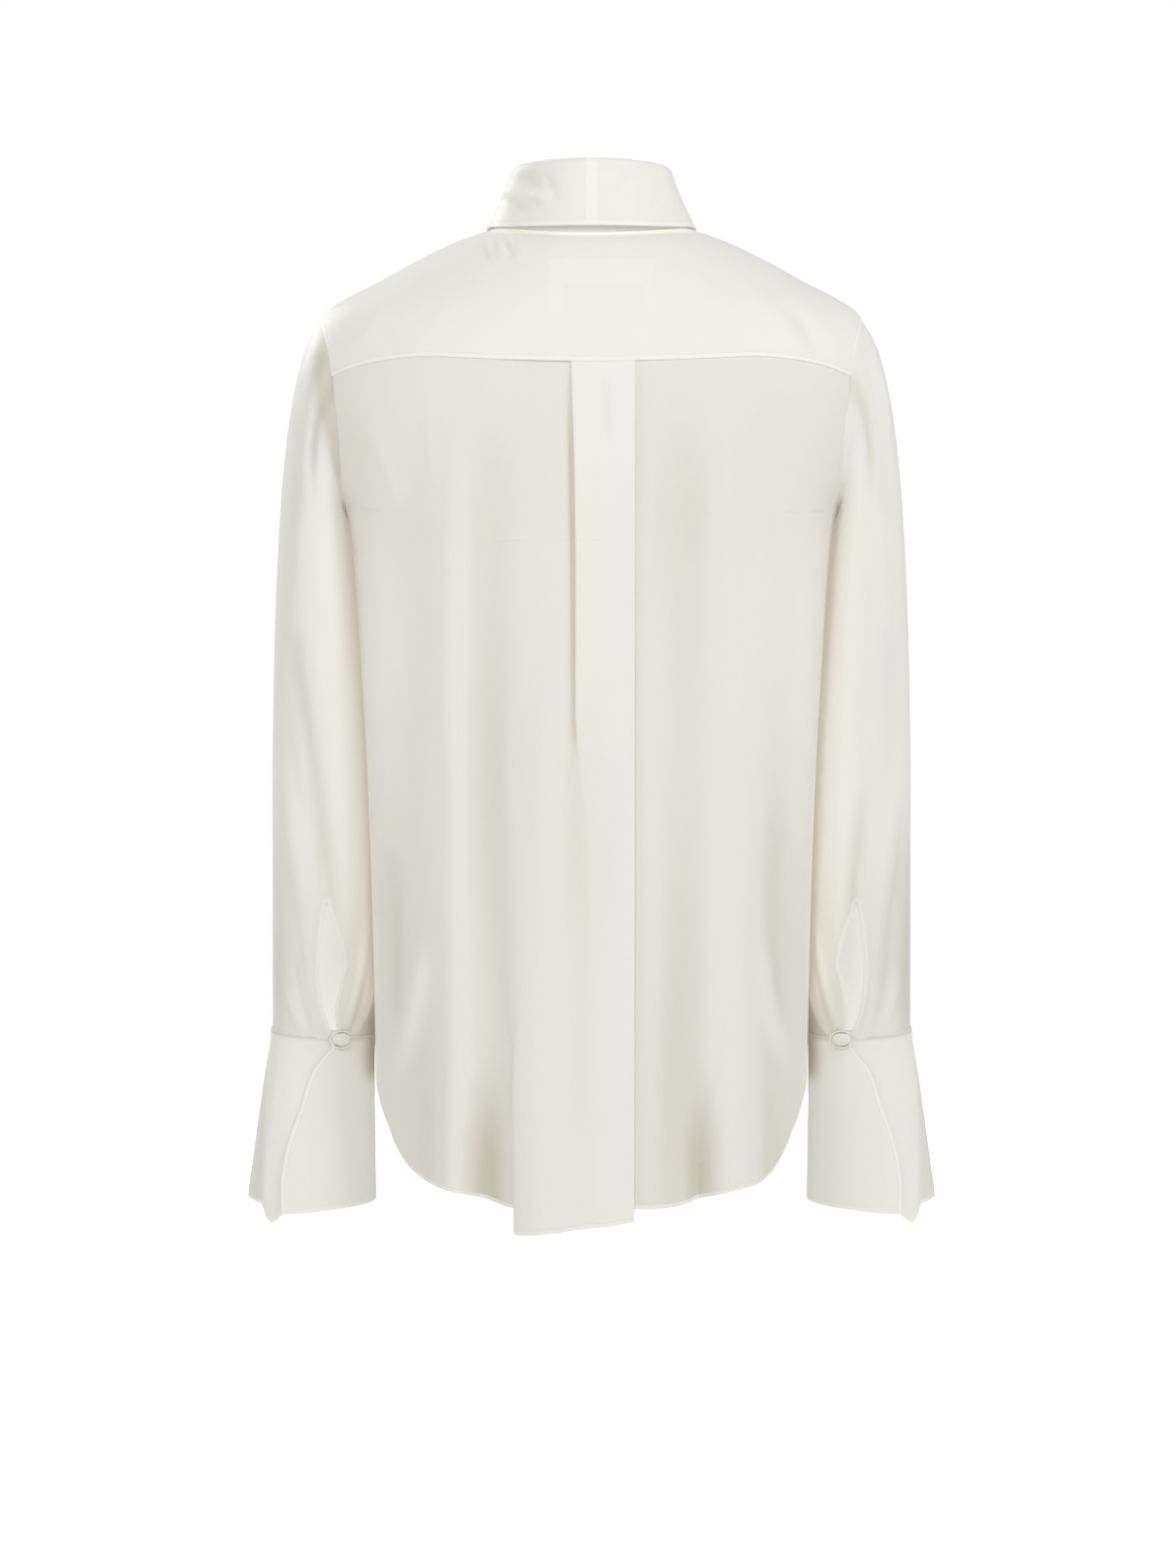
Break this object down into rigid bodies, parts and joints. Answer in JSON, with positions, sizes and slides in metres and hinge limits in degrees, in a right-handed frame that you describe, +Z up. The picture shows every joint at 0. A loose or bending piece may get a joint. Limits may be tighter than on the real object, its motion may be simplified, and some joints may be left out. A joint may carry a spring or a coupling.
{
  "type": "silk blouse",
  "caption": "Long-sleeved silk blouse in worn form, with a turned-down collar, yoke, box pleat, shirt-tail hem and flared cuffs closed by covered buttons",
  "frame": {"origin": "The middle of the neck opening, 3 mm above the side neck points, where the wearer's neck and shoulders carry the blouse", "axes": "+X to the wearer's left, -Y to the front, +Z up"},
  "size_m": [0.513, 0.2445, 0.7844],
  "materials": {
    "silk": "soft sheen, ivory crepe",
    "double_silk": "soft sheen, two layers of ivory crepe",
    "covered_button": "silk drawn over a dome",
    "label": "blank woven satin"
  },
  "bodies": {
    "root": {"back_panel": "silk", "back_yoke": "double_silk", "front_left": "silk", "front_right": "silk", "front_band": "double_silk", "front_button_1": "covered_button", "front_button_2": "covered_button", "front_button_3": "covered_button", "front_button_4": "covered_button", "front_button_5": "covered_button", "front_button_6": "covered_button", "front_button_7": "covered_button", "collar_stand": "double_silk", "collar_fall_left": "double_silk", "collar_fall_right": "double_silk", "neck_label": "label", "sleeve_left": "silk", "sleeve_right": "silk", "slit_binding_left": "silk", "slit_binding_right": "silk", "cuff_left": "double_silk", "cuff_right": "double_silk", "cuff_button_left": "covered_button", "cuff_button_right": "covered_button", "cuff_loop_left": "silk", "cuff_loop_right": "silk"}
  },
  "joints": []
}
